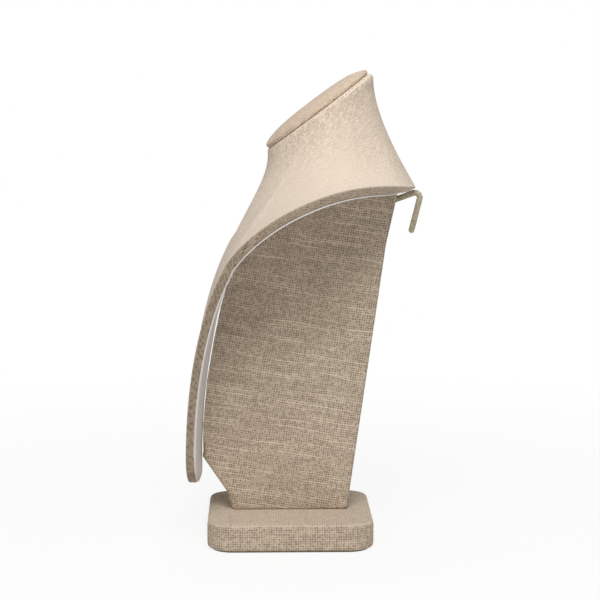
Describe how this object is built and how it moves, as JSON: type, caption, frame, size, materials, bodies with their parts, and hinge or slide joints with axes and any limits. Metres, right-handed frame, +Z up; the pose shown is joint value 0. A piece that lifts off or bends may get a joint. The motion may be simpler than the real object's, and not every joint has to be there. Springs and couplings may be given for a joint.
{
  "type": "necklace stand",
  "caption": "Linen-covered half bust on an upright leg board and rounded base, with a tilted padded neck cap and a chain hook at the nape.",
  "frame": {"origin": "middle of the base's underside, on the table", "axes": "+Z up, -Y towards the chest's front, +Y towards the nape and its hook, X side to side"},
  "size_m": [0.1898, 0.1508, 0.3004],
  "materials": {
    "linen": "woven beige linen with slubs",
    "sleeve": "braided beige sleeve",
    "board": "sawn fibreboard",
    "felt": "pressed felt",
    "steel": "bright zinc plating",
    "shell": "moulded, matt",
    "lining": "smooth pale sheet",
    "foam": "cut foam"
  },
  "bodies": {
    "root": {"base_board": "board", "base_cover": "linen", "base_pad": "felt", "base_screws": "steel", "leg_board": "board", "leg_cover": "linen", "hook_wire": "steel", "hook_sleeve": "sleeve", "bust_shell": "shell", "bust_cover": "linen", "bust_lining": "lining", "neck_cap_board": "board", "neck_cap_pad": "foam", "neck_cap_cover": "linen"}
  },
  "joints": []
}
